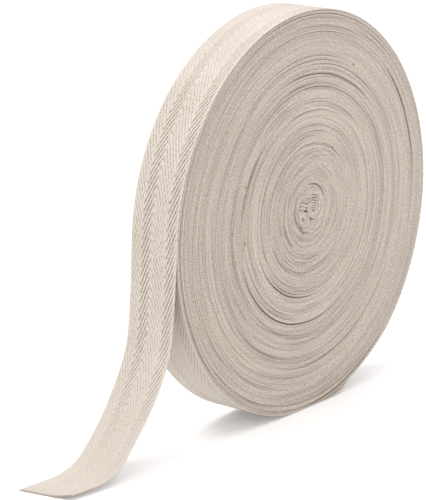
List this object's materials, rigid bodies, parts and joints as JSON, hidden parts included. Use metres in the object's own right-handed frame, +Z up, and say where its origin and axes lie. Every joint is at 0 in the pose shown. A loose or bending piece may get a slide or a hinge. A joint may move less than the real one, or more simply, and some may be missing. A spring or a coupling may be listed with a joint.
{
  "type": "roll of twill tape",
  "caption": "Flat roll of natural cotton herringbone twill tape standing on its edge, its outer end hanging off one side and lying on the surface.",
  "frame": {"origin": "on the flat spot that the roll rests on, straight under the roll's axis and at the middle of the tape's width", "axes": "+Y along the roll's axis, from the front face that shows to the back one; +Z up; the loose end hangs down on the -X side"},
  "size_m": [0.2525, 0.0351, 0.1863],
  "materials": {
    "tape": "matt natural unbleached cotton in a herringbone twill weave"
  },
  "bodies": {
    "root": {"wound_roll": "tape", "loose_end": "tape"}
  },
  "joints": []
}
